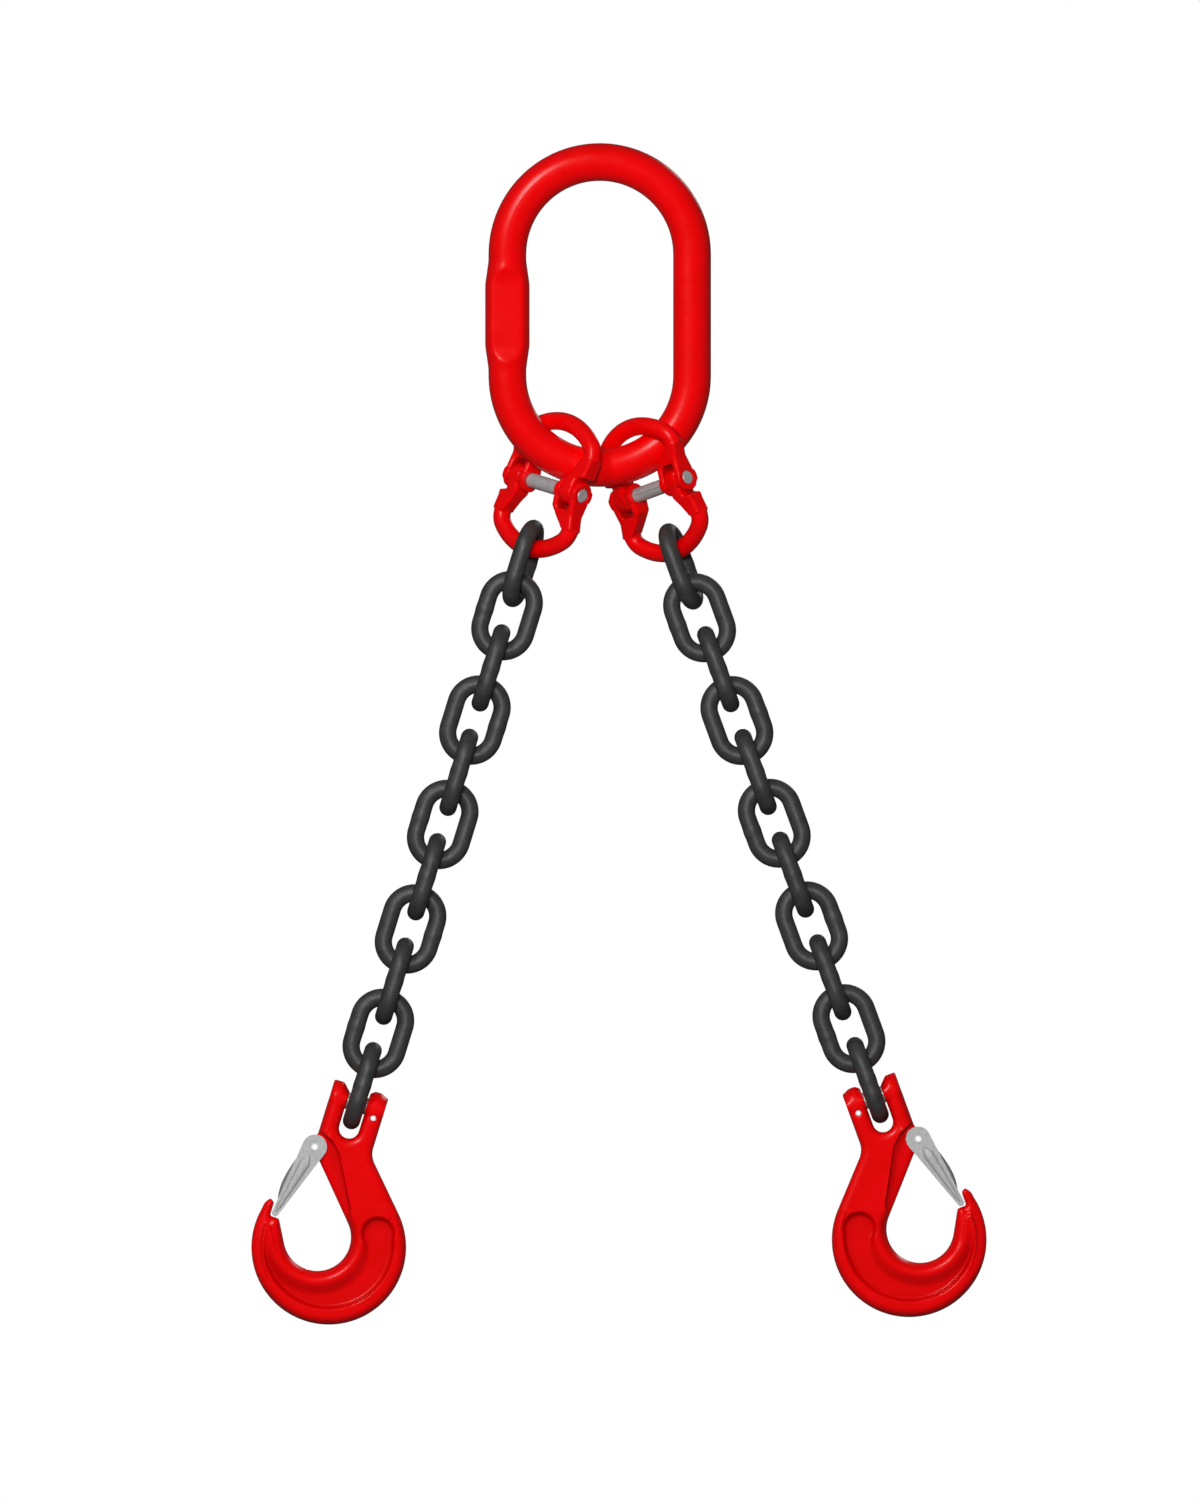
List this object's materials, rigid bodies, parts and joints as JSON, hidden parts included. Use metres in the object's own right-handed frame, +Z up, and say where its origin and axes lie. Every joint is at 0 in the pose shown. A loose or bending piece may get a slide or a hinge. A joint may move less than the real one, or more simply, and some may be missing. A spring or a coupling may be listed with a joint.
{
  "type": "two leg chain sling",
  "caption": "Chain sling: an oblong master link, two coupling links, two round-link chain legs and two clevis hooks with spring latches.",
  "frame": {"origin": "the bearing point inside the top of the master link, where a crane hook carries the sling", "axes": "+Z up, from the legs to the master link; the legs spread along X; the sling is thin along Y and is seen from -Y"},
  "size_m": [0.5215, 0.0682, 0.838],
  "materials": {
    "red_paint": "gloss red paint over forged steel",
    "chain_black": "satin black lacquer on alloy chain",
    "pin_steel": "plain ground steel",
    "latch_zinc": "zinc plated sheet"
  },
  "bodies": {
    "master_link": {"master_link": "red_paint"},
    "left_coupling_upper": {"left_coupling_upper_half": "red_paint", "left_coupling_load_pin": "pin_steel", "left_coupling_sleeve": "pin_steel"},
    "left_coupling_lower": {"left_coupling_lower_half": "red_paint"},
    "left_link_01": {"left_chain_link_01": "chain_black"},
    "left_link_02": {"left_chain_link_02": "chain_black"},
    "left_link_03": {"left_chain_link_03": "chain_black"},
    "left_link_04": {"left_chain_link_04": "chain_black"},
    "left_link_05": {"left_chain_link_05": "chain_black"},
    "left_link_06": {"left_chain_link_06": "chain_black"},
    "left_link_07": {"left_chain_link_07": "chain_black"},
    "left_link_08": {"left_chain_link_08": "chain_black"},
    "left_link_09": {"left_chain_link_09": "chain_black"},
    "left_link_10": {"left_chain_link_10": "chain_black"},
    "left_link_11": {"left_chain_link_11": "chain_black"},
    "left_hook": {"left_hook_body": "red_paint", "left_hook_load_pin": "pin_steel", "left_hook_roll_pin": "pin_steel", "left_latch_pin": "pin_steel", "left_latch_spring": "pin_steel"},
    "left_latch": {"left_latch": "latch_zinc"},
    "right_coupling_upper": {"right_coupling_upper_half": "red_paint", "right_coupling_load_pin": "pin_steel", "right_coupling_sleeve": "pin_steel"},
    "right_coupling_lower": {"right_coupling_lower_half": "red_paint"},
    "right_link_01": {"right_chain_link_01": "chain_black"},
    "right_link_02": {"right_chain_link_02": "chain_black"},
    "right_link_03": {"right_chain_link_03": "chain_black"},
    "right_link_04": {"right_chain_link_04": "chain_black"},
    "right_link_05": {"right_chain_link_05": "chain_black"},
    "right_link_06": {"right_chain_link_06": "chain_black"},
    "right_link_07": {"right_chain_link_07": "chain_black"},
    "right_link_08": {"right_chain_link_08": "chain_black"},
    "right_link_09": {"right_chain_link_09": "chain_black"},
    "right_link_10": {"right_chain_link_10": "chain_black"},
    "right_link_11": {"right_chain_link_11": "chain_black"},
    "right_hook": {"right_hook_body": "red_paint", "right_hook_load_pin": "pin_steel", "right_hook_roll_pin": "pin_steel", "right_latch_pin": "pin_steel", "right_latch_spring": "pin_steel"},
    "right_latch": {"right_latch": "latch_zinc"}
  },
  "joints": [
    {"name": "left_coupling_seat", "type": "hinge", "parent": "master_link", "child": "left_coupling_upper", "pos_m": [0, 0, -0.138], "axis": [0, 1, 0], "range_deg": [-6, 30]},
    {"name": "left_coupling_hinge", "type": "hinge", "parent": "left_coupling_upper", "child": "left_coupling_lower", "pos_m": [-0.03717, 0, -0.21557], "axis": [0.6639, -0.7193, -0.2045], "range_deg": [-45, 45]},
    {"name": "left_link_01_swing", "type": "hinge", "parent": "left_coupling_lower", "child": "left_link_01", "pos_m": [-0.05086, 0, -0.26001], "axis": [-0.6639, 0.7193, 0.2045], "range_deg": [-12, 14]},
    {"name": "left_link_02_swing", "type": "hinge", "parent": "left_link_01", "child": "left_link_02", "pos_m": [-0.06196, 0, -0.29604], "axis": [-0.1987, -0.9781, 0.0612], "range_deg": [-40, 40]},
    {"name": "left_link_03_swing", "type": "hinge", "parent": "left_link_02", "child": "left_link_03", "pos_m": [-0.07337, 0, -0.33307], "axis": [0.9557, 0, -0.2944], "range_deg": [-40, 40]},
    {"name": "left_link_04_swing", "type": "hinge", "parent": "left_link_03", "child": "left_link_04", "pos_m": [-0.08477, 0, -0.37011], "axis": [0, 1, 0], "range_deg": [-40, 40]},
    {"name": "left_link_05_swing", "type": "hinge", "parent": "left_link_04", "child": "left_link_05", "pos_m": [-0.09618, 0, -0.40714], "axis": [-0.9557, 0, 0.2944], "range_deg": [-40, 40]},
    {"name": "left_link_06_swing", "type": "hinge", "parent": "left_link_05", "child": "left_link_06", "pos_m": [-0.10759, 0, -0.44417], "axis": [0, -1, 0], "range_deg": [-40, 40]},
    {"name": "left_link_07_swing", "type": "hinge", "parent": "left_link_06", "child": "left_link_07", "pos_m": [-0.11899, 0, -0.4812], "axis": [0.9557, 0, -0.2944], "range_deg": [-40, 40]},
    {"name": "left_link_08_swing", "type": "hinge", "parent": "left_link_07", "child": "left_link_08", "pos_m": [-0.1304, 0, -0.51824], "axis": [0, 1, 0], "range_deg": [-40, 40]},
    {"name": "left_link_09_swing", "type": "hinge", "parent": "left_link_08", "child": "left_link_09", "pos_m": [-0.14181, 0, -0.55527], "axis": [-0.9557, 0, 0.2944], "range_deg": [-40, 40]},
    {"name": "left_link_10_swing", "type": "hinge", "parent": "left_link_09", "child": "left_link_10", "pos_m": [-0.15321, 0, -0.5923], "axis": [0, -1, 0], "range_deg": [-40, 40]},
    {"name": "left_link_11_swing", "type": "hinge", "parent": "left_link_10", "child": "left_link_11", "pos_m": [-0.16462, 0, -0.62934], "axis": [0.9557, 0, -0.2944], "range_deg": [-40, 40]},
    {"name": "left_hook_swing", "type": "hinge", "parent": "left_link_11", "child": "left_hook", "pos_m": [-0.17228, 0, -0.65419], "axis": [0.9557, 0, -0.2944], "range_deg": [-60, 60]},
    {"name": "left_latch_open", "type": "hinge", "parent": "left_hook", "child": "left_latch", "pos_m": [-0.20216, 0, -0.68495], "axis": [0, -1, 0], "range_deg": [0, 38], "stiffness_Nm_per_rad": 0.05, "springref_deg": -28.65},
    {"name": "right_coupling_seat", "type": "hinge", "parent": "master_link", "child": "right_coupling_upper", "pos_m": [0, 0, -0.138], "axis": [0, 1, 0], "range_deg": [-30, 6]},
    {"name": "right_coupling_hinge", "type": "hinge", "parent": "right_coupling_upper", "child": "right_coupling_lower", "pos_m": [0.03779, 0, -0.21894], "axis": [0.6528, -0.7193, 0.2374], "range_deg": [-45, 45]},
    {"name": "right_link_01_swing", "type": "hinge", "parent": "right_coupling_lower", "child": "right_link_01", "pos_m": [0.05368, 0, -0.26264], "axis": [-0.6528, 0.7193, -0.2374], "range_deg": [-20, 20]},
    {"name": "right_link_02_swing", "type": "hinge", "parent": "right_link_01", "child": "right_link_02", "pos_m": [0.06645, 0, -0.29779], "axis": [-0.1954, -0.9781, -0.071], "range_deg": [-40, 40]},
    {"name": "right_link_03_swing", "type": "hinge", "parent": "right_link_02", "child": "right_link_03", "pos_m": [0.0797, 0, -0.3342], "axis": [0.9398, 0, 0.3417], "range_deg": [-40, 40]},
    {"name": "right_link_04_swing", "type": "hinge", "parent": "right_link_03", "child": "right_link_04", "pos_m": [0.09294, 0, -0.37062], "axis": [0, 1, 0], "range_deg": [-40, 40]},
    {"name": "right_link_05_swing", "type": "hinge", "parent": "right_link_04", "child": "right_link_05", "pos_m": [0.10618, 0, -0.40704], "axis": [-0.9398, 0, -0.3417], "range_deg": [-40, 40]},
    {"name": "right_link_06_swing", "type": "hinge", "parent": "right_link_05", "child": "right_link_06", "pos_m": [0.11942, 0, -0.44346], "axis": [0, -1, 0], "range_deg": [-40, 40]},
    {"name": "right_link_07_swing", "type": "hinge", "parent": "right_link_06", "child": "right_link_07", "pos_m": [0.13266, 0, -0.47987], "axis": [0.9398, 0, 0.3417], "range_deg": [-40, 40]},
    {"name": "right_link_08_swing", "type": "hinge", "parent": "right_link_07", "child": "right_link_08", "pos_m": [0.1459, 0, -0.51629], "axis": [0, 1, 0], "range_deg": [-40, 40]},
    {"name": "right_link_09_swing", "type": "hinge", "parent": "right_link_08", "child": "right_link_09", "pos_m": [0.15914, 0, -0.55271], "axis": [-0.9398, 0, -0.3417], "range_deg": [-40, 40]},
    {"name": "right_link_10_swing", "type": "hinge", "parent": "right_link_09", "child": "right_link_10", "pos_m": [0.17238, 0, -0.58913], "axis": [0, -1, 0], "range_deg": [-40, 40]},
    {"name": "right_link_11_swing", "type": "hinge", "parent": "right_link_10", "child": "right_link_11", "pos_m": [0.18562, 0, -0.62555], "axis": [0.9398, 0, 0.3417], "range_deg": [-40, 40]},
    {"name": "right_hook_swing", "type": "hinge", "parent": "right_link_11", "child": "right_hook", "pos_m": [0.1945, 0, -0.64998], "axis": [0.9398, 0, 0.3417], "range_deg": [-60, 60]},
    {"name": "right_latch_open", "type": "hinge", "parent": "right_hook", "child": "right_latch", "pos_m": [0.22588, 0, -0.67922], "axis": [0, 1, 0], "range_deg": [0, 38], "stiffness_Nm_per_rad": 0.05, "springref_deg": -28.65}
  ]
}
